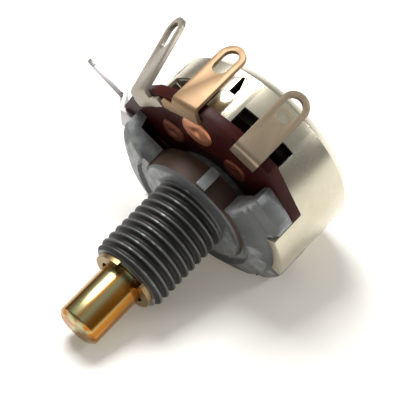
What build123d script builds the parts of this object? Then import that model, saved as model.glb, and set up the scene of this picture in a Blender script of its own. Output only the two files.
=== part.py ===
"""Panel-mount rotary potentiometer, four solder lugs, made as its separate pieces.

Frame: millimetres, +Z up along the shaft towards its tip. The origin is the centre of the
plate's mounting face, where the bushing starts. The wiper lug points along -Y.
"""

import os
from math import cos, radians, sin

from build123d import *

# ---------------------------------------------------------------- driving dimensions
SHEET = 0.5  # wall of the can and its tabs
LUG_SHEET = 0.6  # tinned brass strip of the lugs
RUN_GAP = 0.05  # radial running clearance of the shaft in its bore
FACE_GAP = 0.05  # axial gap between sliding faces

# shaft and bushing
SHAFT_R = 6.35 / 2
SHAFT_TIP_Z = 22.2
SHAFT_CHAMFER = 0.5
BUSHING_R = 11.112 / 2
BUSHING_LENGTH = 12.7
BUSHING_CHAMFER = 0.55
BORE_R = SHAFT_R + RUN_GAP
SHAFT_END_R = 2.6  # reduced rear end that carries the rotor
SHAFT_SHOULDER_Z = -5.55
SHAFT_END_FLAT = 2.1  # distance of the drive flats from the axis
SHAFT_BOTTOM_Z = -13.3

# retaining ring in a groove of the shaft
GROOVE_R = 2.6
RING_R = 4.55
RING_SHEET = 0.75
RING_RELIEF_R = 3.5
RING_MOUTH_ANGLE = 216
RING_MOUTH_WIDTH = 3.9
RING_Z = BUSHING_LENGTH + FACE_GAP

# die-cast plate
HUB_R = 8.2
PLATE_R = 14.4
PLATE_REAR_Z = -5.0
WEB_REAR_Z = -3.4
SEAT_R = 6.2  # rear boss that backs the terminal board
RIM_INNER_R = 12.6
CUTOUT_START = 196
CUTOUT_END = 304
HUB_RIB_WIDTH = 1.5
HUB_RIB_HEIGHT = 0.75
HUB_RIB_ANGLE = 225

# terminal board
BOARD_SHEET = 1.7
BOARD_FRONT_Z = PLATE_REAR_Z
BOARD_REAR_Z = BOARD_FRONT_Z - BOARD_SHEET
BOARD_R = PLATE_R
BOARD_HOLE_R = 4.6
TONGUE_REACH = 16.3  # distance of the tongue's flats from the axis
TONGUE_HALF_WIDTH = 2.9
TONGUE_END_WIDTH = 3.6

# lugs: angle about the axis of each one, and of the prong that holds it
LUG_ANGLES = (216, 252, 285, 324)
PRONG_ANGLES = (216, 261, 279, 324)
LUG_WIDTH = 4.1
LUG_REACH = 17.05  # middle of the sheet where a lug turns back along the can
LUG_TIP_Z = -15.7
LUG_BEND_R = 0.5
EYE_WIDTH = 2.4
EYE_LENGTH = 4.1
EYE_MARGIN = 0.85  # metal left between the eye and the lug's tip
PRONG_WIDTH = 2.2
TWIST_START = 1.2  # how far past the last corner the untwisted part of a turned blade runs
PRONG_R = 14.9
CLINCH_R = 13.2
FOOT_Z = BOARD_FRONT_Z + LUG_SHEET / 2
CLINCH_Z = BOARD_REAR_Z - LUG_SHEET / 2

# rivets: distance from the axis, angle, head radius, shank radius
RIVETS = {
    "rivet_1": (9.4, 214, 1.9, 0.9),
    "rivet_2": (11.9, 250, 2.5, 0.9),
    "rivet_3": (9.9, 281, 2.0, 0.9),
    "rivet_4": (9.4, 326, 1.9, 0.9),
}
COLLECTOR_RIVETS = ("rivet_1", "rivet_3", "rivet_4")
HEAD_HEIGHT = 0.35
HEAD_DIMPLE_R = 0.8

# resistance track, its end pad and the collector on the board's rear face
TRACK_R = 11.7
TRACK_WIDTH = 1.8
TRACK_START = -67
TRACK_END = 240
PRINT_SHEET = 0.12
COLLECTOR_OUTER_R = 7.4
COLLECTOR_INNER_R = 5.2
COLLECTOR_SHEET = 0.3
EAR_WIDTH = 2.6

# can
CAN_R = PLATE_R
CAN_INNER_R = CAN_R - SHEET
CAN_REAR_Z = -16.0
CAN_RIM_Z = BOARD_REAR_Z
CAN_CORNER_R = 1.5
NOTCH_Z = -10.4
NOTCHES = ((199.5, 234), (250.5, 289.5), (306, 340.5))
TAB_ANGLES = (153, 90, 27)
TAB_SPAN = 34
TAB_TOP_Z = -1.45
TAB_FOLD_R = 12.95
STOP_Z = (-13.7, -10.95)
STOP_INNER_R = 12.7
STOP_ANGLES = (244, 296)

# rotor
ROTOR_R = 12.0
ROTOR_FRONT_Z = -9.8
ROTOR_REAR_Z = -12.0
ROTOR_HUB_R = 4.3
ROTOR_HUB_FRONT_Z = -5.55
STOP_EAR_ANGLE = 90
STOP_EAR_WIDTH = 1.8
STOP_EAR_R = 13.4
STOP_EAR_Z = (-13.5, -11.1)

BIG = 60  # cutters reach past the part


def polar(radius, angle):
    """Point at a radius and an angle in degrees about the axis."""
    return (radius * cos(radians(angle)), radius * sin(radians(angle)))


def radial_plane(angle):
    """Plane through the axis whose x runs outwards at the angle and whose y is +Z."""
    c, s = cos(radians(angle)), sin(radians(angle))
    return Plane(origin=(0, 0, 0), x_dir=(c, s, 0), z_dir=(s, -c, 0))


def ring_sector(inner, outer, start, end):
    """Flat segment of a ring between two angles."""
    with BuildSketch() as sector:
        with BuildLine():
            CenterArc((0, 0), outer, start, end - start)
            Line(polar(outer, end), polar(inner, end))
            CenterArc((0, 0), inner, end, start - end)
            Line(polar(inner, start), polar(outer, start))
        make_face()
    return sector.sketch


def save(piece, name):
    """Label a finished piece and write it under its node name."""
    piece.part.label = name
    export_step(piece.part, f"parts/{name}.step")


os.makedirs("parts", exist_ok=True)

# ---------------------------------------------------------------- die-cast bushing and plate
PLATE_FRONT = [
    (BUSHING_R, 0),
    (HUB_R - 0.25, 0),
    (HUB_R, -0.25),
    (HUB_R + 0.2, -0.6),
    (9.4, -0.6),
    (9.8, -0.2),
    (12.3, -1.0),
    (12.8, -1.65),
    (13.7, -1.9),
    (PLATE_R, -2.5),
]

with BuildPart() as bushing_plate:
    with BuildSketch(Plane.XZ) as casting_section:
        with BuildLine():
            Polyline(
                (BORE_R, PLATE_REAR_Z),
                (BORE_R, BUSHING_LENGTH),
                (BUSHING_R - BUSHING_CHAMFER, BUSHING_LENGTH),
                (BUSHING_R, BUSHING_LENGTH - BUSHING_CHAMFER),
                *PLATE_FRONT,
                (PLATE_R, PLATE_REAR_Z),
                (RIM_INNER_R + 0.4, PLATE_REAR_Z),
                (RIM_INNER_R, WEB_REAR_Z),
                (SEAT_R + 0.4, WEB_REAR_Z),
                (SEAT_R, PLATE_REAR_Z),
                close=True,
            )
        make_face()
    revolve(axis=Axis.Z)
    # window in front of the lugs: everything outside the hub is cut away
    with BuildSketch(Plane.XY.offset(PLATE_REAR_Z - 1)) as window:
        add(ring_sector(HUB_R, PLATE_R + 1, CUTOUT_START, CUTOUT_END))
    extrude(amount=BUSHING_LENGTH, mode=Mode.SUBTRACT)
    # small rib on the hub's side inside the window
    rib_r = HUB_R + HUB_RIB_HEIGHT / 2 - 0.3
    with BuildSketch(Plane.XY.offset(WEB_REAR_Z)) as rib:
        with Locations(Location((*polar(rib_r, HUB_RIB_ANGLE), 0), (0, 0, HUB_RIB_ANGLE))):
            Rectangle(HUB_RIB_HEIGHT + 0.6, HUB_RIB_WIDTH)
    extrude(amount=-WEB_REAR_Z - 0.35)
    # seats of the can's tabs
    for angle in TAB_ANGLES:
        half = TAB_SPAN / 2 + 0.6
        with BuildSketch(Plane.XY.offset(PLATE_REAR_Z - 1)) as tab_channel:
            add(ring_sector(CAN_INNER_R - 0.05, PLATE_R + 1, angle - half, angle + half))
        extrude(amount=BUSHING_LENGTH, mode=Mode.SUBTRACT)
        with BuildSketch(Plane.XY.offset(TAB_TOP_Z - SHEET)) as fold_seat:
            add(ring_sector(TAB_FOLD_R - 0.1, PLATE_R + 1, angle - half, angle + half))
        extrude(amount=BUSHING_LENGTH, mode=Mode.SUBTRACT)
save(bushing_plate, "bushing_plate")

# ---------------------------------------------------------------- shaft
with BuildPart() as shaft:
    with BuildSketch(Plane.XZ) as shaft_section:
        with BuildLine():
            Polyline(
                (0, SHAFT_BOTTOM_Z),
                (SHAFT_END_R, SHAFT_BOTTOM_Z),
                (SHAFT_END_R, SHAFT_SHOULDER_Z),
                (SHAFT_R, SHAFT_SHOULDER_Z),
                (SHAFT_R, RING_Z),
                (GROOVE_R, RING_Z),
                (GROOVE_R, RING_Z + RING_SHEET),
                (SHAFT_R, RING_Z + RING_SHEET),
                (SHAFT_R, SHAFT_TIP_Z - SHAFT_CHAMFER),
                (SHAFT_R - SHAFT_CHAMFER, SHAFT_TIP_Z),
                (0, SHAFT_TIP_Z),
                close=True,
            )
        make_face()
    revolve(axis=Axis.Z)
    # drive flats on the rear end
    with BuildSketch(Plane.XY.offset(SHAFT_BOTTOM_Z)) as flats:
        with Locations((0, SHAFT_END_FLAT + 2), (0, -SHAFT_END_FLAT - 2)):
            Rectangle(BIG / 4, 4)
    extrude(amount=SHAFT_SHOULDER_Z - SHAFT_BOTTOM_Z, mode=Mode.SUBTRACT)
save(shaft, "shaft")

# ---------------------------------------------------------------- retaining ring
with BuildPart() as retaining_ring:
    with BuildSketch(Plane.XY.offset(RING_Z)) as ring_outline:
        Circle(RING_R)
        Circle(GROOVE_R + 0.02, mode=Mode.SUBTRACT)
        # relief pockets beside the tooth opposite the mouth
        for angle in (RING_MOUTH_ANGLE + 120, RING_MOUTH_ANGLE - 120):
            ring_pocket = (angle - 38, angle + 38)
            with BuildLine():
                CenterArc((0, 0), RING_RELIEF_R, ring_pocket[0], ring_pocket[1] - ring_pocket[0])
                Line(polar(RING_RELIEF_R, ring_pocket[1]), polar(GROOVE_R - 0.5, ring_pocket[1]))
                Line(polar(GROOVE_R - 0.5, ring_pocket[1]), polar(GROOVE_R - 0.5, ring_pocket[0]))
                Line(polar(GROOVE_R - 0.5, ring_pocket[0]), polar(RING_RELIEF_R, ring_pocket[0]))
            make_face(mode=Mode.SUBTRACT)
        # open mouth
        mouth = Location((*polar(RING_R / 2 + 1, RING_MOUTH_ANGLE), 0), (0, 0, RING_MOUTH_ANGLE))
        with Locations(mouth):
            Rectangle(RING_R + 2, RING_MOUTH_WIDTH, mode=Mode.SUBTRACT)
    extrude(amount=RING_SHEET)
save(retaining_ring, "retaining_ring")

# ---------------------------------------------------------------- thrust washer
with BuildPart() as thrust_washer:
    with BuildSketch(Plane.XY.offset(ROTOR_HUB_FRONT_Z)) as washer_outline:
        Circle(ROTOR_HUB_R)
        Circle(BORE_R, mode=Mode.SUBTRACT)
    extrude(amount=PLATE_REAR_Z - FACE_GAP - ROTOR_HUB_FRONT_Z)
save(thrust_washer, "thrust_washer")


# ---------------------------------------------------------------- terminal board
def tongue_corners():
    """Corner points of the tongue that carries the lugs, from one end to the other."""
    points = [polar(BOARD_R, TAB_ANGLES[0] + TAB_SPAN / 2)]
    for angle in LUG_ANGLES:
        first = TONGUE_END_WIDTH if angle == LUG_ANGLES[0] else TONGUE_HALF_WIDTH
        last = TONGUE_END_WIDTH if angle == LUG_ANGLES[-1] else TONGUE_HALF_WIDTH
        for side in (-first, last):
            out, across = polar(TONGUE_REACH, angle), polar(side, angle + 90)
            points.append((out[0] + across[0], out[1] + across[1]))
    points.append(polar(BOARD_R, TAB_ANGLES[2] - TAB_SPAN / 2))
    return points


with BuildPart() as terminal_board:
    with BuildSketch(Plane.XY.offset(BOARD_REAR_Z)) as board_face:
        Circle(BOARD_R)
        with BuildLine():
            Polyline(*tongue_corners(), (0, 0), close=True)
        make_face()
        for angle in TAB_ANGLES:
            half = TAB_SPAN / 2 + 0.6
            add(ring_sector(CAN_INNER_R - 0.05, BOARD_R + 2, angle - half, angle + half), mode=Mode.SUBTRACT)
        Circle(BOARD_HOLE_R, mode=Mode.SUBTRACT)
        for radius, angle, head_r, shank_r in RIVETS.values():
            with Locations(polar(radius, angle)):
                Circle(shank_r, mode=Mode.SUBTRACT)
        for angle in PRONG_ANGLES:
            with Locations(Location((*polar(PRONG_R, angle), 0), (0, 0, angle))):
                Rectangle(LUG_SHEET, PRONG_WIDTH, mode=Mode.SUBTRACT)
    extrude(amount=BOARD_SHEET)
save(terminal_board, "terminal_board")


# ---------------------------------------------------------------- lugs
def blade_tip_plane(corner, tip, angle):
    """Plane in a lug's blade, its origin at the tip and its x running along the blade."""
    c, s = cos(radians(angle)), sin(radians(angle))
    along = Vector((tip[0] - corner[0]) * c, (tip[0] - corner[0]) * s, tip[1] - corner[1]).normalized()
    return Plane(origin=(tip[0] * c, tip[0] * s, tip[1]), x_dir=along, z_dir=along.cross(Vector(-s, c, 0)))


def make_lug(angle, prong_angle, corners, tip, twist):
    """Folded lug: foot on the board's front, blade to the tip, prong clinched behind the board."""
    foot_inner = PRONG_R - LUG_SHEET / 2
    blade_end = tip
    if twist:
        run = Vector(tip[0] - corners[-1][0], tip[1] - corners[-1][1]).normalized()
        blade_end = (corners[-1][0] + run.X * TWIST_START, corners[-1][1] + run.Y * TWIST_START)
    with BuildPart() as lug:
        with BuildSketch(radial_plane(angle)) as lug_side:
            with BuildLine() as lug_line:
                FilletPolyline((foot_inner, FOOT_Z), *corners, blade_end, radius=LUG_BEND_R)
            trace(line_width=LUG_SHEET)
        extrude(amount=LUG_WIDTH / 2, both=True)
        # foot that reaches sideways to the prong
        if prong_angle != angle:
            middle = (angle + prong_angle) / 2
            with BuildSketch(Plane.XY.offset(BOARD_FRONT_Z)) as side_foot:
                with Locations(Location((*polar(PRONG_R + 0.35, middle), 0), (0, 0, middle))):
                    Rectangle(1.3, 6.2)
            extrude(amount=LUG_SHEET)
        with BuildSketch(radial_plane(prong_angle)) as prong_side:
            with Locations((PRONG_R, (FOOT_Z + CLINCH_Z) / 2)):
                Rectangle(LUG_SHEET, FOOT_Z - CLINCH_Z + LUG_SHEET)
            with Locations(((PRONG_R + CLINCH_R) / 2, CLINCH_Z)):
                Rectangle(PRONG_R - CLINCH_R + LUG_SHEET, LUG_SHEET)
        extrude(amount=PRONG_WIDTH / 2, both=True)
        # blade turned about its own length just past the last bend
        tip_plane = blade_tip_plane(corners[-1], tip, angle)
        if twist:
            length = (Vector(*tip) - Vector(*corners[-1])).length - TWIST_START / 2
            across = Plane(origin=tip_plane.origin, x_dir=tip_plane.y_dir, z_dir=tip_plane.x_dir)
            with BuildSketch(across) as blade_section:
                Rectangle(LUG_WIDTH, LUG_SHEET, rotation=twist)
            extrude(amount=-length)
            turned = tip_plane.z_dir * cos(radians(twist)) - tip_plane.y_dir * sin(radians(twist))
            tip_plane = Plane(origin=tip_plane.origin, x_dir=tip_plane.x_dir, z_dir=turned)
        # rounded tip, then the wire eye
        with BuildSketch(tip_plane) as tip_corners:
            with Locations((-LUG_WIDTH / 4, 0)):
                Rectangle(LUG_WIDTH / 2 + 0.1, LUG_WIDTH + 1)
            with Locations((-LUG_WIDTH / 2, 0)):
                Circle(LUG_WIDTH / 2, mode=Mode.SUBTRACT)
        extrude(amount=1, both=True, mode=Mode.SUBTRACT)
        with BuildSketch(tip_plane) as eye:
            with Locations((-EYE_MARGIN - EYE_LENGTH / 2, 0)):
                SlotOverall(EYE_LENGTH, EYE_WIDTH)
        extrude(amount=1, both=True, mode=Mode.SUBTRACT)
    return lug


def leaning_tip(corner, length, lean):
    """End of a blade that leaves its corner at an angle in degrees below the board's plane."""
    return (corner[0] + length * cos(radians(lean)), corner[1] - length * sin(radians(lean)))


LUG_CORNERS = (
    ((LUG_REACH, FOOT_Z),),
    ((LUG_REACH, FOOT_Z),),
    ((16.9, FOOT_Z),),
    ((16.7, FOOT_Z), (17.8, -6.8)),
)
LUG_TIPS = (
    (LUG_REACH, LUG_TIP_Z),
    (LUG_REACH, LUG_TIP_Z),
    leaning_tip(LUG_CORNERS[2][-1], 11.5, 74),
    leaning_tip(LUG_CORNERS[3][-1], 8.3, 9),
)
LUG_TWISTS = (0, 0, 0, -17)
for number, lug_angle in enumerate(LUG_ANGLES):
    lug_piece = make_lug(
        lug_angle, PRONG_ANGLES[number], LUG_CORNERS[number], LUG_TIPS[number], LUG_TWISTS[number]
    )
    save(lug_piece, f"terminal_{number + 1}")


# ---------------------------------------------------------------- rivets
def make_rivet(radius, angle, head_r, shank_r, rear_z):
    """Rivet with a dimpled head in front and a flared head behind."""
    flare = shank_r + 0.4
    front = BOARD_FRONT_Z + HEAD_HEIGHT
    x, y = polar(radius, angle)
    with BuildPart() as rivet:
        with BuildSketch(Plane(origin=(x, y, 0), x_dir=(1, 0, 0), z_dir=(0, -1, 0))) as rivet_section:
            with BuildLine():
                Polyline(
                    (0, rear_z - 0.35),
                    (flare - 0.15, rear_z - 0.35),
                    (flare, rear_z),
                    (shank_r, rear_z),
                    (shank_r, BOARD_FRONT_Z),
                    (head_r, BOARD_FRONT_Z),
                    (head_r, front - 0.2),
                    (head_r - 0.25, front),
                    (HEAD_DIMPLE_R, front),
                    (0, front - 0.3),
                    close=True,
                )
            make_face()
        revolve(axis=Axis((x, y, 0), (0, 0, 1)))
    return rivet


collector_rear_z = BOARD_REAR_Z - COLLECTOR_SHEET
for rivet_name, rivet_sizes in RIVETS.items():
    under = collector_rear_z if rivet_name in COLLECTOR_RIVETS else BOARD_REAR_Z - PRINT_SHEET
    save(make_rivet(*rivet_sizes, under), rivet_name)

# ---------------------------------------------------------------- printed track and its end pad
with BuildPart() as resistance_track:
    with BuildSketch(Plane.XY.offset(BOARD_REAR_Z - PRINT_SHEET)) as track_face:
        add(ring_sector(TRACK_R - TRACK_WIDTH / 2, TRACK_R + TRACK_WIDTH / 2, TRACK_START, TRACK_END))
    extrude(amount=PRINT_SHEET)
save(resistance_track, "resistance_track")

with BuildPart() as track_end_pad:
    with BuildSketch(Plane.XY.offset(BOARD_REAR_Z - PRINT_SHEET)) as pad_face:
        add(ring_sector(TRACK_R - TRACK_WIDTH / 2, TRACK_R + TRACK_WIDTH / 2, TRACK_END, 259))
        with Locations(polar(RIVETS["rivet_2"][0], RIVETS["rivet_2"][1])):
            Circle(RIVETS["rivet_2"][3], mode=Mode.SUBTRACT)
    extrude(amount=PRINT_SHEET)
save(track_end_pad, "track_end_pad")

# ---------------------------------------------------------------- collector
with BuildPart() as collector_ring:
    with BuildSketch(Plane.XY.offset(collector_rear_z)) as collector_face:
        Circle(COLLECTOR_OUTER_R)
        for name in COLLECTOR_RIVETS:
            radius, angle = RIVETS[name][:2]
            with Locations(Location((*polar(radius / 2, angle), 0), (0, 0, angle))):
                Rectangle(radius, EAR_WIDTH)
            with Locations(polar(radius, angle)):
                Circle(EAR_WIDTH / 2)
        Circle(COLLECTOR_INNER_R, mode=Mode.SUBTRACT)
        for name in COLLECTOR_RIVETS:
            with Locations(polar(*RIVETS[name][:2])):
                Circle(RIVETS[name][3], mode=Mode.SUBTRACT)
    extrude(amount=COLLECTOR_SHEET)
save(collector_ring, "collector_ring")

# ---------------------------------------------------------------- rotor
with BuildPart() as rotor:
    with BuildSketch(Plane.XY.offset(ROTOR_REAR_Z)) as rotor_disc:
        Circle(ROTOR_R)
    extrude(amount=ROTOR_FRONT_Z - ROTOR_REAR_Z)
    with BuildSketch(Plane.XY.offset(SHAFT_BOTTOM_Z + 0.3)) as rotor_hub:
        Circle(ROTOR_HUB_R)
    extrude(amount=ROTOR_HUB_FRONT_Z - SHAFT_BOTTOM_Z - 0.3)
    # stop ear on the disc's edge
    with BuildSketch(Plane.XY.offset(STOP_EAR_Z[0])) as stop_ear:
        ear_middle = (ROTOR_R - 2 + STOP_EAR_R) / 2
        with Locations(Location((*polar(ear_middle, STOP_EAR_ANGLE), 0), (0, 0, STOP_EAR_ANGLE))):
            Rectangle(STOP_EAR_R - ROTOR_R + 2, STOP_EAR_WIDTH)
    extrude(amount=STOP_EAR_Z[1] - STOP_EAR_Z[0])
    # hole with drive flats
    with BuildSketch(Plane.XY.offset(SHAFT_BOTTOM_Z)) as drive_hole:
        Circle(SHAFT_END_R + 0.02)
        with Locations((0, SHAFT_END_FLAT + 2.02), (0, -SHAFT_END_FLAT - 2.02)):
            Rectangle(BIG / 4, 4, mode=Mode.SUBTRACT)
    extrude(amount=ROTOR_HUB_FRONT_Z - SHAFT_BOTTOM_Z, mode=Mode.SUBTRACT)
save(rotor, "rotor")

# ---------------------------------------------------------------- wiper spring and its rivets
track_contact_z = BOARD_REAR_Z - PRINT_SHEET - FACE_GAP
collector_contact_z = collector_rear_z - FACE_GAP
WIPER_SHEET = 0.25
FINGER_WIDTH = 0.6
TRACK_FINGERS = (11.2, 12.0)
COLLECTOR_FINGERS = (5.8, 6.6)
WIPER_RIVET_SPOTS = ((-3.2, 9.0), (3.2, 9.0))
BRIDGE_WIDTH = 8.6

with BuildPart() as wiper_spring:
    # bridge plate flat on the rotor
    with BuildSketch(Plane.XY.offset(ROTOR_FRONT_Z)) as bridge:
        with Locations((0, 8.6)):
            Rectangle(BRIDGE_WIDTH, 7.0)
        for spot in WIPER_RIVET_SPOTS:
            with Locations(spot):
                Circle(0.6, mode=Mode.SUBTRACT)
    extrude(amount=WIPER_SHEET)
    # fingers that rise from the bridge to the track and to the collector
    for reach, top in [(r, track_contact_z) for r in TRACK_FINGERS] + [
        (r, collector_contact_z) for r in COLLECTOR_FINGERS
    ]:
        with BuildSketch(Plane.XZ.offset(-reach)) as finger_side:
            with BuildLine():
                Polyline(
                    (BRIDGE_WIDTH / 2, ROTOR_FRONT_Z),
                    (0.5, top),
                    (-0.5, top),
                    (-0.75, top - 0.2),
                    (-0.65, top - 0.45),
                    (-0.35, top - WIPER_SHEET),
                    (0.35, top - WIPER_SHEET),
                    (BRIDGE_WIDTH / 2 - 0.45, ROTOR_FRONT_Z),
                    close=True,
                )
            make_face()
        extrude(amount=FINGER_WIDTH / 2, both=True)
    # the shaft's hub passes through the bridge's inner end
    with BuildSketch(Plane.XY.offset(ROTOR_FRONT_Z - 0.5)) as hub_clearance:
        Circle(ROTOR_HUB_R + 0.1)
    extrude(amount=4, mode=Mode.SUBTRACT)
save(wiper_spring, "wiper_spring")

with BuildPart() as wiper_rivets:
    for spot in WIPER_RIVET_SPOTS:
        with BuildSketch(Plane.XY.offset(ROTOR_FRONT_Z)) as stake_shank:
            with Locations(spot):
                Circle(0.58)
        extrude(amount=WIPER_SHEET)
        with BuildSketch(Plane.XY.offset(ROTOR_FRONT_Z + WIPER_SHEET)) as stake_head:
            with Locations(spot):
                Circle(0.95)
        extrude(amount=0.3)
save(wiper_rivets, "wiper_rivets")

# ---------------------------------------------------------------- can
with BuildPart() as can:
    with BuildSketch(Plane.XZ) as can_section:
        with BuildLine():
            Polyline(
                (0, CAN_REAR_Z),
                (CAN_R - CAN_CORNER_R, CAN_REAR_Z),
                (CAN_R, CAN_REAR_Z + CAN_CORNER_R),
                (CAN_R, TAB_TOP_Z),
                (TAB_FOLD_R, TAB_TOP_Z),
                (TAB_FOLD_R, TAB_TOP_Z - SHEET),
                (CAN_INNER_R, TAB_TOP_Z - SHEET),
                (CAN_INNER_R, CAN_REAR_Z + CAN_CORNER_R),
                (CAN_R - CAN_CORNER_R, CAN_REAR_Z + SHEET),
                (0, CAN_REAR_Z + SHEET),
                close=True,
            )
        make_face()
    revolve(axis=Axis.Z)
    # rim notches that the lugs and the board's tongue look out of, and the rim between the tabs
    for start, end in NOTCHES:
        with BuildSketch(Plane.XY.offset(NOTCH_Z)) as notch:
            add(ring_sector(CAN_INNER_R - 0.6, CAN_R + 1, start, end))
        extrude(amount=BIG, mode=Mode.SUBTRACT)
    tab_edges = [angle + side * TAB_SPAN / 2 for angle in reversed(TAB_ANGLES) for side in (-1, 1)]
    gaps = [(tab_edges[5] - 360, tab_edges[0]), (tab_edges[1], tab_edges[2]), (tab_edges[3], tab_edges[4])]
    for start, end in gaps:
        with BuildSketch(Plane.XY.offset(CAN_RIM_Z)) as rim_gap:
            add(ring_sector(TAB_FOLD_R - 1, CAN_R + 1, start, end))
        extrude(amount=BIG, mode=Mode.SUBTRACT)
    # two stops lanced from the wall and folded inwards
    for angle, side in ((STOP_ANGLES[0], -1), (STOP_ANGLES[1], 1)):
        stop_height = STOP_Z[1] - STOP_Z[0]
        x, y = polar(STOP_INNER_R, angle)
        c, t = cos(radians(angle)), sin(radians(angle))
        wall = Plane(origin=(x, y, 0), x_dir=(-t, c, 0), z_dir=(c, t, 0))
        # slit that tapers away from the rim
        near, far = side * 0.72, -side * 0.72
        with BuildSketch(wall) as stop_slit:
            with BuildLine():
                Polyline(
                    (near, STOP_Z[1]),
                    (far, STOP_Z[1]),
                    (far, STOP_Z[0]),
                    (far * 0.4, STOP_Z[0]),
                    close=True,
                )
            make_face()
        extrude(amount=CAN_R + 1 - STOP_INNER_R, mode=Mode.SUBTRACT)
        fold = angle + side * 2.2
        with BuildSketch(Plane.XY.offset(STOP_Z[0])) as stop_flap:
            flap_middle = (STOP_INNER_R + CAN_R - 0.1) / 2
            with Locations(Location((*polar(flap_middle, fold), 0), (0, 0, fold))):
                Rectangle(CAN_R - 0.1 - STOP_INNER_R, SHEET)
        extrude(amount=stop_height)
save(can, "can")
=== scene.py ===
"""Visual model of a panel-mount rotary potentiometer on a pale table."""

import logging
from dataclasses import dataclass, field
from enum import Enum
from math import cos, floor, pi, radians, sin

import bmesh
import bpy
from mathutils import Matrix, Quaternion, Vector


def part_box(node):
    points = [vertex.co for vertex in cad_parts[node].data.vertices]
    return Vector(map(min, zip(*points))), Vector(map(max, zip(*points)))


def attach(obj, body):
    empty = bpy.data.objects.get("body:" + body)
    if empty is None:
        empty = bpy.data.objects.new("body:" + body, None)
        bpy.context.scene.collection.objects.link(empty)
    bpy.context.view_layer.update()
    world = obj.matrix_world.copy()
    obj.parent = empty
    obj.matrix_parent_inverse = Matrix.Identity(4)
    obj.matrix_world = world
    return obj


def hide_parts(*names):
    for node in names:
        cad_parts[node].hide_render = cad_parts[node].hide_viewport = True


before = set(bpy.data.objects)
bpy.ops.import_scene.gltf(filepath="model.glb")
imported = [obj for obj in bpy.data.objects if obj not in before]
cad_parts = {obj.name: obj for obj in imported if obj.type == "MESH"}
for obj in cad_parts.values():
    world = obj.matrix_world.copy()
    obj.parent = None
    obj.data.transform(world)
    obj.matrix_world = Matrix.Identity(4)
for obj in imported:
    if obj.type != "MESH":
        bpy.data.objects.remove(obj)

MM = 0.001
LOG = logging.getLogger("potentiometer")
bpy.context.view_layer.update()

Colour = tuple[float, float, float]

# A Mix node repeats its socket names for each kind of value: these are the colour ones.
MIX_FIRST, MIX_SECOND, MIX_RESULT = 6, 7, 2

# Edges that turn by more than this are rounded, and stay sharp when shaded.
CORNER_ANGLE = radians(32)
# Triangles that turn by less than this against each other become one flat face.
FLAT_ANGLE = radians(0.5)
# Height of the relief that a bump of strength 1 stands for, in metres.
BUMP_DISTANCE = 0.00005
# How much of a metal's shine the painted shade takes away.
PAINTED_SHADE_METAL_LOSS = 0.3
# Sides of a modelled rivet head.
HEAD_SIDES = 32


class Slot(Enum):
    """Material slots of the record."""

    ZINC = "zinc"
    CHROMATE = "chromate_steel"
    BRASS = "brass"
    STEEL = "spring_steel"
    PHENOLIC = "phenolic"
    LUG = "lug_brass"
    COPPER = "copper"
    CARBON = "carbon"
    SILVER = "silver"
    INSULATOR = "insulator"
    SPRING = "spring_brass"
    TIN = "tinplate"


class Body(Enum):
    """Bodies that the pieces ride on."""

    HOUSING = "housing"
    SPINDLE = "spindle"


# ------------------------------------------------------------------ shader node groups
def new_group(
    name: str, inputs: dict[str, float], outputs: tuple[str, ...]
) -> tuple[bpy.types.NodeTree, bpy.types.Node, bpy.types.Node]:
    """Make an empty shader node group.

    Args:
        name: Name of the group.
        inputs: Float inputs and their defaults.
        outputs: Names of the float outputs.

    Returns:
        The group, its input node and its output node.
    """
    group = bpy.data.node_groups.new(name, "ShaderNodeTree")
    for key, value in inputs.items():
        socket = group.interface.new_socket(key, in_out="INPUT", socket_type="NodeSocketFloat")
        socket.default_value = value
    for key in outputs:
        group.interface.new_socket(key, in_out="OUTPUT", socket_type="NodeSocketFloat")
    return group, group.nodes.new("NodeGroupInput"), group.nodes.new("NodeGroupOutput")


def math_node(tree: bpy.types.NodeTree, operation: str, *values: object) -> bpy.types.NodeSocket:
    """Add a Math node.

    Args:
        tree: Tree to add it to.
        operation: Blender's name of the operation.
        values: Sockets or numbers for its inputs.

    Returns:
        The output socket.
    """
    node = tree.nodes.new("ShaderNodeMath")
    node.operation = operation
    for index, value in enumerate(values):
        if isinstance(value, bpy.types.NodeSocket):
            tree.links.new(value, node.inputs[index])
        else:
            node.inputs[index].default_value = value
    return node.outputs[0]


def mix_colours(
    tree: bpy.types.NodeTree,
    factor: bpy.types.NodeSocket,
    first: bpy.types.NodeSocket | Colour,
    second: bpy.types.NodeSocket | Colour,
) -> bpy.types.NodeSocket:
    """Add a node that mixes two colours.

    Args:
        tree: Tree to add it to.
        factor: Socket that drives the mix.
        first: Socket or colour at factor 0.
        second: Socket or colour at factor 1.

    Returns:
        The mixed colour's socket.
    """
    node = tree.nodes.new("ShaderNodeMix")
    node.data_type = "RGBA"
    tree.links.new(factor, node.inputs["Factor"])
    for value, index in ((first, MIX_FIRST), (second, MIX_SECOND)):
        if isinstance(value, bpy.types.NodeSocket):
            tree.links.new(value, node.inputs[index])
        else:
            node.inputs[index].default_value = (*value, 1.0)
    return node.outputs[MIX_RESULT]


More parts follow.
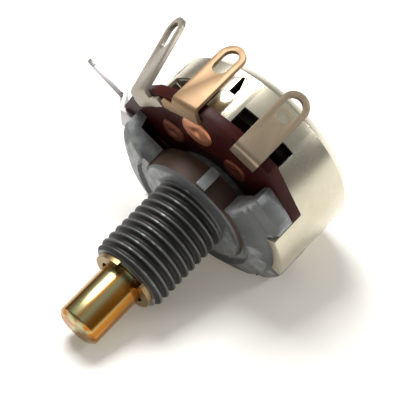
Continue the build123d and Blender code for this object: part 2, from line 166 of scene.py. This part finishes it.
def edge_wear_group() -> bpy.types.NodeTree:
    """Mask that is 1 on rubbed outer edges, broken up by noise.

    Returns:
        The shader group.
    """
    rubbed_from, rubbed_to = 0.545, 0.63
    noise_contrast, noise_offset = 1.6, -0.2
    group, source, target = new_group("edge_wear", {"Amount": 0.5, "Scale": 900.0}, ("Mask",))
    nodes, links = group.nodes, group.links
    geometry = nodes.new("ShaderNodeNewGeometry")
    place = nodes.new("ShaderNodeTexCoord")
    noise = nodes.new("ShaderNodeTexNoise")
    links.new(place.outputs["Object"], noise.inputs["Vector"])
    links.new(source.outputs["Scale"], noise.inputs["Scale"])
    noise.inputs["Detail"].default_value = 4.0
    edge = nodes.new("ShaderNodeMapRange")
    edge.inputs["From Min"].default_value = rubbed_from
    edge.inputs["From Max"].default_value = rubbed_to
    links.new(geometry.outputs["Pointiness"], edge.inputs["Value"])
    noise_value = noise.outputs["Fac"]
    broken = math_node(group, "MULTIPLY_ADD", noise_value, noise_contrast, noise_offset)
    mask = math_node(group, "MULTIPLY", edge.outputs["Result"], broken)
    mask = math_node(group, "MULTIPLY", mask, source.outputs["Amount"])
    clamp = nodes.new("ShaderNodeClamp")
    links.new(mask, clamp.inputs["Value"])
    links.new(clamp.outputs["Result"], target.inputs["Mask"])
    return group


def grain_group() -> bpy.types.NodeTree:
    """Fine surface grain: a height, and a blotchy value around zero.

    Returns:
        The shader group.
    """
    group, source, target = new_group(
        "surface_grain",
        {"Scale": 2500.0, "Stretch": 1.0, "Blotch Scale": 220.0},
        ("Height", "Blotch"),
    )
    nodes, links = group.nodes, group.links
    place = nodes.new("ShaderNodeTexCoord")
    parts = nodes.new("ShaderNodeSeparateXYZ")
    joined = nodes.new("ShaderNodeCombineXYZ")
    links.new(place.outputs["Object"], parts.inputs["Vector"])
    links.new(parts.outputs["X"], joined.inputs["X"])
    links.new(parts.outputs["Y"], joined.inputs["Y"])
    stretched = math_node(group, "MULTIPLY", parts.outputs["Z"], source.outputs["Stretch"])
    links.new(stretched, joined.inputs["Z"])
    values = {}
    for scale, detail in (("Scale", 3.0), ("Blotch Scale", 5.0)):
        noise = nodes.new("ShaderNodeTexNoise")
        noise.inputs["Detail"].default_value = detail
        links.new(joined.outputs["Vector"], noise.inputs["Vector"])
        links.new(source.outputs[scale], noise.inputs["Scale"])
        values[scale] = noise.outputs["Fac"]
    links.new(values["Scale"], target.inputs["Height"])
    centred = math_node(group, "SUBTRACT", values["Blotch Scale"], 0.5)
    links.new(centred, target.inputs["Blotch"])
    return group


def groove_group() -> bpy.types.NodeTree:
    """Mask that is 1 under a given distance from the Z axis, within a height band.

    Returns:
        The shader group.
    """
    group, source, target = new_group(
        "painted_shade_band",
        {"Unshaded Radius": 0.0055, "Shaded Radius": 0.0049, "Low": 0.0, "High": 0.0127},
        ("Mask",),
    )
    nodes, links = group.nodes, group.links
    place = nodes.new("ShaderNodeTexCoord")
    parts = nodes.new("ShaderNodeSeparateXYZ")
    links.new(place.outputs["Object"], parts.inputs["Vector"])
    square = math_node(group, "MULTIPLY", parts.outputs["X"], parts.outputs["X"])
    square = math_node(group, "MULTIPLY_ADD", parts.outputs["Y"], parts.outputs["Y"], square)
    depth = nodes.new("ShaderNodeMapRange")
    links.new(math_node(group, "SQRT", square), depth.inputs["Value"])
    links.new(source.outputs["Unshaded Radius"], depth.inputs["From Min"])
    links.new(source.outputs["Shaded Radius"], depth.inputs["From Max"])
    above = math_node(group, "GREATER_THAN", parts.outputs["Z"], source.outputs["Low"])
    below = math_node(group, "LESS_THAN", parts.outputs["Z"], source.outputs["High"])
    band = math_node(group, "MULTIPLY", above, below)
    links.new(math_node(group, "MULTIPLY", depth.outputs["Result"], band), target.inputs["Mask"])
    return group


GROUPS = {"wear": edge_wear_group(), "grain": grain_group(), "groove": groove_group()}


def group_node(tree: bpy.types.NodeTree, key: str, values: dict[str, float]) -> bpy.types.Node:
    """Put one of the shader groups into a tree.

    Args:
        tree: Tree to add it to.
        key: Key of the group in GROUPS.
        values: Values of its inputs.

    Returns:
        The group's node.
    """
    node = tree.nodes.new("ShaderNodeGroup")
    node.node_tree = GROUPS[key]
    for name, value in values.items():
        node.inputs[name].default_value = value
    return node


# ------------------------------------------------------------------ finishes
@dataclass(frozen=True)
class PaintedShadeZone:
    """Band round the Z axis painted darker as painted shade, in metres.

    It is unshaded beyond one distance from the axis and fully shaded within another.
    """

    colour: Colour
    unshaded_beyond: float
    shaded_within: float
    low: float
    high: float

    def sockets(self) -> dict[str, float]:
        """Values for the shader group.

        Returns:
            The group's input names and their values.
        """
        return {
            "Unshaded Radius": self.unshaded_beyond,
            "Shaded Radius": self.shaded_within,
            "Low": self.low,
            "High": self.high,
        }


@dataclass(frozen=True)
class Finish:
    """One surface finish, built as a procedural material."""

    name: str
    colour: Colour
    second: Colour
    metallic: float = 1.0
    roughness: float = 0.35
    roughness_spread: float = 0.2
    grain: float = 2500.0
    stretch: float = 1.0
    blotch: float = 220.0
    blotch_strength: float = 2.0
    bump: float = 0.04
    worn: Colour | None = None
    wear: float = 0.6
    painted_shade: tuple[PaintedShadeZone, ...] = ()
    specular: float = 0.5

    def material(self) -> bpy.types.Material:
        """Build the material, or find the one that was built before.

        Returns:
            The material.
        """
        if self.name in bpy.data.materials:
            return bpy.data.materials[self.name]
        material = bpy.data.materials.new(self.name)
        material.use_nodes = True
        tree = material.node_tree
        shader = tree.nodes["Principled BSDF"]
        shader.inputs["Metallic"].default_value = self.metallic
        shader.inputs["Specular IOR Level"].default_value = self.specular
        grain = group_node(
            tree,
            "grain",
            {"Scale": self.grain, "Stretch": self.stretch, "Blotch Scale": self.blotch},
        )
        blotch = grain.outputs["Blotch"]
        spread = math_node(tree, "MULTIPLY_ADD", blotch, self.blotch_strength, 0.5)
        spread.node.use_clamp = True
        colour = mix_colours(tree, spread, self.colour, self.second)
        if self.worn:
            wear = group_node(tree, "wear", {"Amount": self.wear})
            colour = mix_colours(tree, wear.outputs["Mask"], colour, self.worn)
        metal: float | bpy.types.NodeSocket = self.metallic
        # Painted shade: each zone darkens the colour and lowers the shine inside its band round
        # the axis.
        for zone in self.painted_shade:
            mask = group_node(tree, "groove", zone.sockets()).outputs["Mask"]
            colour = mix_colours(tree, mask, colour, zone.colour)
            metal = math_node(tree, "MULTIPLY_ADD", mask, -PAINTED_SHADE_METAL_LOSS, metal)
            tree.links.new(metal, shader.inputs["Metallic"])
        tree.links.new(colour, shader.inputs["Base Color"])
        rough = math_node(tree, "MULTIPLY_ADD", blotch, self.roughness_spread, self.roughness)
        tree.links.new(rough, shader.inputs["Roughness"])
        bump = tree.nodes.new("ShaderNodeBump")
        bump.inputs["Strength"].default_value = self.bump
        bump.inputs["Distance"].default_value = BUMP_DISTANCE
        tree.links.new(grain.outputs["Height"], bump.inputs["Height"])
        tree.links.new(bump.outputs["Normal"], shader.inputs["Normal"])
        return material


# Painted shade: the thread's grooves are darkened and dulled to stand in for the occlusion between
# the turns.
THREAD_PAINTED_SHADE = PaintedShadeZone((0.016, 0.015, 0.012), unshaded_beyond=0.00552, shaded_within=0.00534, low=0.0, high=0.0127)
# Painted reflection and shade: the hub wall is tinted dark brown like the board reflected in it
# and the shade behind the plate.
HUB_PAINTED_REFLECTION = PaintedShadeZone((0.075, 0.040, 0.024), unshaded_beyond=0.0086, shaded_within=0.00835, low=-0.0036, high=-0.00025)
ZINC = Finish(
    "grey_zinc",
    (0.20, 0.21, 0.21),
    (0.12, 0.125, 0.125),
    metallic=0.55,
    roughness=0.55,
    worn=(0.62, 0.64, 0.65),
    bump=0.3,
    wear=0.7,
    painted_shade=(THREAD_PAINTED_SHADE, HUB_PAINTED_REFLECTION),
)
# Painted reflection: the strong lengthwise orange and olive streaks stand in for the surroundings
# reflected in the shaft, on top of the chromate's own iridescent tone.
CHROMATE = Finish(
    "yellow_chromate",
    (0.50, 0.47, 0.23),
    (0.44, 0.17, 0.02),
    roughness=0.24,
    grain=3000.0,
    stretch=0.02,
    blotch=700.0,
    blotch_strength=6.0,
)
BRASS = Finish("satin_brass", (0.40, 0.30, 0.15), (0.27, 0.19, 0.085), roughness=0.38)
STEEL = Finish("grey_steel", (0.55, 0.55, 0.54), (0.42, 0.42, 0.42))
PHENOLIC = Finish(
    "red_brown_laminate",
    (0.024, 0.0018, 0.0014),
    (0.060, 0.0075, 0.005),
    metallic=0.0,
    roughness=0.42,
    grain=1500.0,
    stretch=6.0,
    blotch=300.0,
    bump=0.12,
    specular=0.14,
)
# The lug finishes are copies of one tinned brass, each tinted with the painted light, shade and
# reflection seen on its lug; the lilac one is a painted glare.
LUG_PAINTED_TAN_LIGHT = Finish(
    "tinned_brass_painted_tan_light",
    (0.37, 0.235, 0.125),
    (0.31, 0.195, 0.105),
    metallic=0.55,
    roughness=0.48,
    blotch_strength=3.0,
)
LUG_PAINTED_BEIGE_LIGHT = Finish("tinned_brass_painted_beige_light", (0.42, 0.33, 0.23), (0.36, 0.28, 0.19), 0.7, 0.4)
LUG_PAINTED_GREY_LIGHT = Finish("tinned_brass_painted_grey_light", (0.46, 0.41, 0.34), (0.38, 0.33, 0.27), 0.7, 0.4)
LUG_PAINTED_LILAC_GLARE = Finish("tinned_brass_painted_lilac_glare", (0.56, 0.53, 0.54), (0.46, 0.42, 0.43), 0.7, 0.38)
COPPER = Finish("bright_copper", (0.72, 0.33, 0.19), (0.58, 0.22, 0.11), 0.8, 0.38)
# Painted shade: a darkened copy of the copper for the rivets that lie in shadow.
PAINTED_SHADE_COPPER = Finish("copper_painted_shade", (0.20, 0.055, 0.032), (0.13, 0.035, 0.02), 0.7, 0.45)
CARBON = Finish("printed_carbon", (0.02, 0.02, 0.02), (0.035, 0.035, 0.035), 0.0, 0.6)
SILVER = Finish("silver_plate", (0.75, 0.74, 0.70), (0.62, 0.60, 0.56), 1.0, 0.3)
INSULATOR = Finish("dark_moulding", (0.018, 0.013, 0.011), (0.03, 0.022, 0.018), 0.0, 0.5)
SPRING = Finish("spring_bronze", (0.72, 0.53, 0.28), (0.60, 0.42, 0.2), 1.0, 0.28)
TIN = Finish(
    "tinned_steel",
    (0.74, 0.70, 0.57),
    (0.60, 0.555, 0.42),
    metallic=0.85,
    roughness=0.27,
    blotch=160.0,
    bump=0.05,
)


# ------------------------------------------------------------------ mesh making
def cad_copy(node: str, weld: float = 1e-7) -> bpy.types.Mesh:
    """Welded copy of a CAD node's mesh with flat areas rejoined into single faces.

    Args:
        node: Name of the CAD node.
        weld: Merge distance in metres.

    Returns:
        A new mesh with no materials.
    """
    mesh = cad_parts[node].data.copy()
    mesh.materials.clear()
    work = bmesh.new()
    work.from_mesh(mesh)
    bmesh.ops.remove_doubles(work, verts=work.verts, dist=weld)
    bmesh.ops.dissolve_limit(
        work, angle_limit=FLAT_ANGLE, verts=work.verts, edges=work.edges, delimit={"NORMAL"}
    )
    bmesh.ops.recalc_face_normals(work, faces=work.faces)
    work.to_mesh(mesh)
    work.free()
    return mesh


def settle(piece: bpy.types.Object) -> None:
    """Turn a piece's modifiers into a plain mesh with smooth faces and sharp corners.

    Args:
        piece: Object to finish.
    """
    evaluated = piece.evaluated_get(bpy.context.evaluated_depsgraph_get())
    mesh = bpy.data.meshes.new_from_object(evaluated)
    mesh.name = piece.name
    piece.modifiers.clear()
    piece.data = mesh
    mesh.shade_smooth()
    mesh.set_sharp_from_angle(angle=CORNER_ANGLE)


def add_object(name: str, mesh: bpy.types.Mesh) -> bpy.types.Object:
    """Put a mesh into the scene as an object.

    Args:
        name: Name of the object.
        mesh: Its mesh.

    Returns:
        The object.
    """
    made = bpy.data.objects.new(name, mesh)
    bpy.context.scene.collection.objects.link(made)
    return made


def bevel(piece: bpy.types.Object, width: float, segments: int = 2) -> None:
    """Round a piece's sharp edges.

    Args:
        piece: Object to bevel.
        width: Bevel width in millimetres.
        segments: Number of rounding steps.
    """
    modifier = piece.modifiers.new("rounded_edges", "BEVEL")
    modifier.width = width * MM
    modifier.segments = segments
    modifier.limit_method = "ANGLE"
    modifier.angle_limit = CORNER_ANGLE
    modifier.harden_normals = False


def dress(piece: bpy.types.Object, finish: Finish, slot: Slot, body: Body, *nodes: str) -> None:
    """Give a finished piece its material and its place in the frame.

    Args:
        piece: The piece.
        finish: Its finish.
        slot: The record's slot it stands for; not used.
        body: Body it rides on.
        nodes: CAD nodes it replaces.
    """
    piece.data.materials.clear()
    piece.data.materials.append(finish.material())
    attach(piece, body.value)
    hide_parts(*nodes)
    LOG.info("%s: %d faces", piece.name, len(piece.data.polygons))


@dataclass
class RoundedPiece:
    """A CAD node with its edges rounded and a finish of its own."""

    node: str
    finish: Finish
    slot: Slot
    body: Body = Body.HOUSING
    edge: float = 0.08

    def build(self) -> None:
        """Make the piece and dress it."""
        piece = add_object(f"{self.node}_finished", cad_copy(self.node))
        if self.edge:
            bevel(piece, self.edge)
        settle(piece)
        dress(piece, self.finish, self.slot, self.body, self.node)


@dataclass
class Casting:
    """Die-cast plate whose bushing gets its real thread. Lengths in millimetres."""

    major_r: float = 5.556
    root_r: float = 5.02
    pitch: float = 1.27
    length: float = 12.7
    start: float = 0.12
    run_out: float = 0.5
    overrun: float = 0.6
    crest_clearance: float = 0.03
    outer_r: float = 6.6
    flank_slope: float = 1.5
    crest_width: float = 0.12
    steps_round: int = 96
    steps_pitch: int = 10
    edge: float = 0.26
    edge_segments: int = 3

    def groove_depth(self, turn: float) -> float:
        """Depth of the thread's form at one place along its pitch.

        Args:
            turn: The place, in pitches.

        Returns:
            0 at the crest and 1 at the root.
        """
        part = turn - floor(turn)
        flank = abs(part - 0.5) * 2
        return max(0.0, min(1.0, (1 - flank) * self.flank_slope - self.crest_width))

    def wall_radius(self, turn: float, z: float) -> float:
        """Radius of the thread's surface.

        Args:
            turn: Angle round the axis, in turns.
            z: Height in millimetres.

        Returns:
            The radius in millimetres.
        """
        fade = min(1.0, (z - self.start) / self.run_out)
        depth = self.groove_depth(z / self.pitch - turn) * fade
        crest_r = self.major_r + self.crest_clearance
        return crest_r - (crest_r - self.root_r) * depth

    def ring(self, work: bmesh.types.BMesh, radii: list[float], z: float) -> list:
        """Add a ring of vertices round the axis.

        Args:
            work: Mesh to add it to.
            radii: Radius of each vertex in millimetres.
            z: Height in millimetres.

        Returns:
            The vertices.
        """
        made = []
        for column, r in enumerate(radii):
            angle = 2 * pi * (column / self.steps_round)
            made.append(work.verts.new((r * cos(angle) * MM, r * sin(angle) * MM, z * MM)))
        return made

    def cutter(self) -> bpy.types.Object:
        """Ring whose inner wall is the thread's surface.

        Returns:
            The cutting object.
        """
        work = bmesh.new()
        low, high = self.start, self.length + self.overrun
        count = int((high - low) / self.pitch * self.steps_pitch)
        turns = [column / self.steps_round for column in range(self.steps_round)]
        rows = []
        for row in range(count + 1):
            z = low + (high - low) * row / count
            rows.append(self.ring(work, [self.wall_radius(turn, z) for turn in turns], z))
        for z in (high, low):
            rows.append(self.ring(work, [self.outer_r] * self.steps_round, z))
        for index, ring in enumerate(rows):
            following = rows[(index + 1) % len(rows)]
            for column in range(self.steps_round):
                after = (column + 1) % self.steps_round
                work.faces.new((ring[column], ring[after], following[after], following[column]))
        bmesh.ops.recalc_face_normals(work, faces=work.faces)
        mesh = bpy.data.meshes.new("thread_cutter")
        work.to_mesh(mesh)
        work.free()
        return add_object("thread_cutter", mesh)

    def build(self) -> None:
        """Make the casting with its thread and dress it."""
        piece = add_object("bushing_plate_finished", cad_copy("bushing_plate"))
        bevel(piece, self.edge, self.edge_segments)
        settle(piece)
        cutter = self.cutter()
        modifier = piece.modifiers.new("thread", "BOOLEAN")
        modifier.operation = "DIFFERENCE"
        modifier.solver = "EXACT"
        modifier.object = cutter
        settle(piece)
        bpy.data.objects.remove(cutter)
        dress(piece, ZINC, Slot.ZINC, Body.HOUSING, "bushing_plate")


@dataclass
class Lugs:
    """The four solder lugs: one tinned brass, painted in four shades for the light, shade and
    reflection that fall on each.
    """

    finishes: tuple[Finish, ...] = (LUG_PAINTED_BEIGE_LIGHT, LUG_PAINTED_TAN_LIGHT, LUG_PAINTED_GREY_LIGHT, LUG_PAINTED_LILAC_GLARE)
    edge: float = 0.09

    def build(self) -> None:
        """Make the lugs."""
        for number, finish in enumerate(self.finishes, start=1):
            RoundedPiece(f"terminal_{number}", finish, Slot.LUG, edge=self.edge).build()


@dataclass
class Rivets:
    """The copper rivets; the large one is plain copper and the others are painted darker as
    painted shade.
    """

    finishes: tuple[Finish, ...] = (PAINTED_SHADE_COPPER, COPPER, PAINTED_SHADE_COPPER, PAINTED_SHADE_COPPER)
    edge: float = 0.1

    def build(self) -> None:
        """Make the rivets."""
        for number, finish in enumerate(self.finishes, start=1):
            RoundedPiece(f"rivet_{number}", finish, Slot.COPPER, edge=self.edge).build()


@dataclass
class Board:
    """Terminal board with its printed track, end pad and collector."""

    def build(self) -> None:
        """Make the board and what is printed or riveted on it."""
        for node, finish, slot, edge in (
            ("terminal_board", PHENOLIC, Slot.PHENOLIC, 0.07),
            ("resistance_track", CARBON, Slot.CARBON, 0.0),
            ("track_end_pad", SILVER, Slot.SILVER, 0.0),
            ("collector_ring", SILVER, Slot.SILVER, 0.05),
        ):
            RoundedPiece(node, finish, slot, edge=edge).build()


def rivet_row_tree(material: bpy.types.Material) -> bpy.types.NodeTree:
    """Geometry Nodes tree that sets equal flat-headed rivets in a row along X.

    Args:
        material: Material of the rivets.

    Returns:
        The tree, with its sizes as named inputs.
    """
    tree = bpy.data.node_groups.new("rivet_row", "GeometryNodeTree")
    face = tree.interface
    face.new_socket("Geometry", in_out="OUTPUT", socket_type="NodeSocketGeometry")
    face.new_socket("Count", in_out="INPUT", socket_type="NodeSocketInt")
    face.new_socket("Start", in_out="INPUT", socket_type="NodeSocketVector")
    face.new_socket("Spacing", in_out="INPUT", socket_type="NodeSocketVector")
    for key in ("Head Radius", "Head Height"):
        face.new_socket(key, in_out="INPUT", socket_type="NodeSocketFloat")
    nodes, links = tree.nodes, tree.links
    source, target = nodes.new("NodeGroupInput"), nodes.new("NodeGroupOutput")
    line = nodes.new("GeometryNodeMeshLine")
    for key, name in (("Count", "Count"), ("Start", "Start Location"), ("Spacing", "Offset")):
        links.new(source.outputs[key], line.inputs[name])
    head = nodes.new("GeometryNodeMeshCylinder")
    head.inputs["Vertices"].default_value = HEAD_SIDES
    links.new(source.outputs["Head Radius"], head.inputs["Radius"])
    links.new(source.outputs["Head Height"], head.inputs["Depth"])
    rows = nodes.new("GeometryNodeInstanceOnPoints")
    links.new(line.outputs["Mesh"], rows.inputs["Points"])
    links.new(head.outputs["Mesh"], rows.inputs["Instance"])
    real = nodes.new("GeometryNodeRealizeInstances")
    links.new(rows.outputs["Instances"], real.inputs["Geometry"])
    paint = nodes.new("GeometryNodeSetMaterial")
    paint.inputs["Material"].default_value = material
    links.new(real.outputs["Geometry"], paint.inputs["Geometry"])
    links.new(paint.outputs["Geometry"], target.inputs["Geometry"])
    return tree


@dataclass
class WiperRivets:
    """Two equal rivets that hold the wiper on the rotor. Lengths in millimetres."""

    count: int = 2
    spacing: float = 6.4
    offset_y: float = 9.0
    head_r: float = 0.93
    head_height: float = 0.54
    edge: float = 0.12

    def build(self) -> None:
        """Make the pair and dress it."""
        low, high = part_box("wiper_rivets")
        piece = add_object("wiper_rivets_finished", bpy.data.meshes.new("wiper_rivets_finished"))
        modifier = piece.modifiers.new("rivet_row", "NODES")
        modifier.node_group = rivet_row_tree(BRASS.material())
        values = {
            "Count": self.count,
            "Start": (-self.spacing / 2 * MM, self.offset_y * MM, (low[2] + high[2]) / 2),
            "Spacing": (self.spacing * MM, 0.0, 0.0),
            "Head Radius": self.head_r * MM,
            "Head Height": self.head_height * MM,
        }
        for item in modifier.node_group.interface.items_tree:
            if item.in_out == "INPUT":
                modifier[item.identifier] = values[item.name]
        settle(piece)
        bevel(piece, self.edge)
        settle(piece)
        dress(piece, BRASS, Slot.BRASS, Body.SPINDLE, "wiper_rivets")


@dataclass
class Spindle:
    """Everything that turns: shaft, ring, washer, rotor and wiper."""

    def build(self) -> None:
        """Make the turning pieces."""
        for node, finish, slot, edge in (
            ("shaft", CHROMATE, Slot.CHROMATE, 0.1),
            ("retaining_ring", BRASS, Slot.BRASS, 0.0),
            ("thrust_washer", STEEL, Slot.STEEL, 0.05),
            ("rotor", INSULATOR, Slot.INSULATOR, 0.1),
            ("wiper_spring", SPRING, Slot.SPRING, 0.03),
        ):
            RoundedPiece(node, finish, slot, Body.SPINDLE, edge).build()
        WiperRivets().build()


# ------------------------------------------------------------------ table, light and camera
@dataclass(frozen=True)
class Lamp:
    """Square soft lamp that looks at the object.

    Its place is in metres along the table's right, away and up, and its power in watts.
    """

    name: str
    place: tuple[float, float, float]
    size: float
    power: float


@dataclass
class Studio:
    """Pale table, soft lamps and the camera.

    The camera's focal length is a multiple of the picture's width. The table touches the
    circles round the Z axis that are given by height and radius, in millimetres.
    """

    eye: Vector = field(default_factory=lambda: Vector((-168.508, -122.400, 71.056)) * MM)
    turn: Quaternion = field(
        default_factory=lambda: Quaternion((0.06820981, -0.4382795, -0.37726136, 0.81297747))
    )
    focal_multiple: float = 4.1525
    sensor: float = 36.0
    nearest: float = 0.01
    tilt: float = 41.0
    resting: tuple[tuple[float, float], ...] = ((22.2, 3.175), (-15.3, 14.4))
    reach: float = 2.0
    table_colour: Colour = (0.93, 0.92, 0.90)
    table_roughness: float = 0.9
    table_specular: float = 0.1
    table_glow: Colour = (0.17, 0.15, 0.12)
    sky: tuple[float, float] = (0.06, 0.42)
    lamps: tuple[Lamp, ...] = (
        Lamp("key", (-0.06, 0.13, 0.30), 0.15, 1.15),
        Lamp("side", (0.28, 0.02, 0.14), 0.08, 0.22),
    )

    def camera(self) -> None:
        """Make the camera."""
        data = bpy.data.cameras.new("camera")
        data.sensor_width = self.sensor
        data.lens = self.focal_multiple * data.sensor_width
        data.clip_start = self.nearest
        made = bpy.data.objects.new("camera", data)
        made.matrix_world = Matrix.Translation(self.eye) @ self.turn.to_matrix().to_4x4()
        bpy.context.scene.collection.objects.link(made)
        bpy.context.scene.camera = made

    def axes(self) -> tuple[Vector, Vector, Vector]:
        """Directions of the table.

        Returns:
            Right, away and up.
        """
        right = self.turn @ Vector((1, 0, 0))
        up, back = self.turn @ Vector((0, 1, 0)), self.turn @ Vector((0, 0, 1))
        normal = up * cos(radians(self.tilt)) + back * sin(radians(self.tilt))
        return right, normal.cross(right), normal

    @staticmethod
    def seen_rays(tree: bpy.types.NodeTree) -> bpy.types.NodeSocket:
        """Tell the rays that see the background from those that only light the object.

        Args:
            tree: Node tree of the material.

        Returns:
            A socket that is 1 for camera, glossy and transmission rays.
        """
        path = tree.nodes.new("ShaderNodeLightPath")
        found = path.outputs["Is Camera Ray"]
        for ray in ("Is Glossy Ray", "Is Transmission Ray"):
            found = math_node(tree, "MAXIMUM", found, path.outputs[ray])
        return found

    def table_material(self) -> bpy.types.Material:
        """Pale matt material that is see-through from behind.

        Returns:
            The material.
        """
        material = bpy.data.materials.new("table_white")
        material.use_nodes = True
        tree = material.node_tree
        shader = tree.nodes["Principled BSDF"]
        shader.inputs["Base Color"].default_value = (*self.table_colour, 1)
        shader.inputs["Roughness"].default_value = self.table_roughness
        shader.inputs["Specular IOR Level"].default_value = self.table_specular
        glow = mix_colours(tree, self.seen_rays(tree), (0.0, 0.0, 0.0), self.table_glow)
        tree.links.new(glow, shader.inputs["Emission Color"])
        shader.inputs["Emission Strength"].default_value = 1.0
        clear = tree.nodes.new("ShaderNodeBsdfTransparent")
        side = tree.nodes.new("ShaderNodeNewGeometry")
        mix = tree.nodes.new("ShaderNodeMixShader")
        tree.links.new(side.outputs["Backfacing"], mix.inputs["Fac"])
        tree.links.new(shader.outputs["BSDF"], mix.inputs[1])
        tree.links.new(clear.outputs["BSDF"], mix.inputs[2])
        tree.links.new(mix.outputs["Shader"], tree.nodes["Material Output"].inputs["Surface"])
        return material

    def table(self) -> None:
        """Lay the table under the shaft's tip and the can's edge."""
        right, away, normal = self.axes()
        spread = Vector(normal.xy).length
        level = min(
            Vector((0, 0, z * MM)).dot(normal) - radius * MM * spread for z, radius in self.resting
        )
        LOG.info("table level: %.2f mm", level / MM)
        corners = [
            normal * level + right * x * self.reach + away * y * self.reach
            for x, y in ((-1, -1), (1, -1), (1, 1), (-1, 1))
        ]
        mesh = bpy.data.meshes.new("table")
        mesh.from_pydata([tuple(c) for c in corners], [], [(0, 1, 2, 3)])
        made = add_object("table", mesh)
        if mesh.polygons[0].normal.dot(normal) < 0:
            mesh.flip_normals()
        mesh.materials.append(self.table_material())

    def light(self, lamp: Lamp) -> None:
        """Hang a lamp.

        Args:
            lamp: The lamp.
        """
        right, away, normal = self.axes()
        data = bpy.data.lights.new(lamp.name, "AREA")
        data.size = lamp.size
        data.energy = lamp.power
        made = bpy.data.objects.new(lamp.name, data)
        spot = right * lamp.place[0] + away * lamp.place[1] + normal * lamp.place[2]
        aim = (-spot).to_track_quat("-Z", "Y")
        made.matrix_world = Matrix.Translation(spot) @ aim.to_matrix().to_4x4()
        bpy.context.scene.collection.objects.link(made)

    def world(self) -> None:
        """Grey surroundings that brighten towards the table's upward direction."""
        world = bpy.data.worlds.new("surroundings")
        bpy.context.scene.world = world
        world.use_nodes = True
        tree = world.node_tree
        background = tree.nodes["Background"]
        spot = tree.nodes.new("ShaderNodeTexCoord")
        height = tree.nodes.new("ShaderNodeVectorMath")
        height.operation = "DOT_PRODUCT"
        tree.links.new(spot.outputs["Generated"], height.inputs[0])
        height.inputs[1].default_value = self.axes()[2]
        ramp = tree.nodes.new("ShaderNodeMapRange")
        ramp.inputs["From Min"].default_value = 0.0
        ramp.inputs["To Min"].default_value = self.sky[0]
        ramp.inputs["To Max"].default_value = self.sky[1]
        tree.links.new(height.outputs["Value"], ramp.inputs["Value"])
        tree.links.new(ramp.outputs["Result"], background.inputs["Color"])
        background.inputs["Strength"].default_value = 1.0

    def build(self) -> None:
        """Set up the camera, table and light."""
        self.camera()
        self.table()
        self.world()
        for lamp in self.lamps:
            self.light(lamp)


def main() -> None:
    """Build the potentiometer and its studio."""
    logging.basicConfig(level=logging.INFO, format="%(name)s: %(message)s")
    bpy.context.scene.view_settings.view_transform = "Standard"
    Studio().build()
    Casting().build()
    RoundedPiece("can", TIN, Slot.TIN, edge=0.12).build()
    Board().build()
    Lugs().build()
    Rivets().build()
    Spindle().build()


if __name__ == "__main__":
    main()
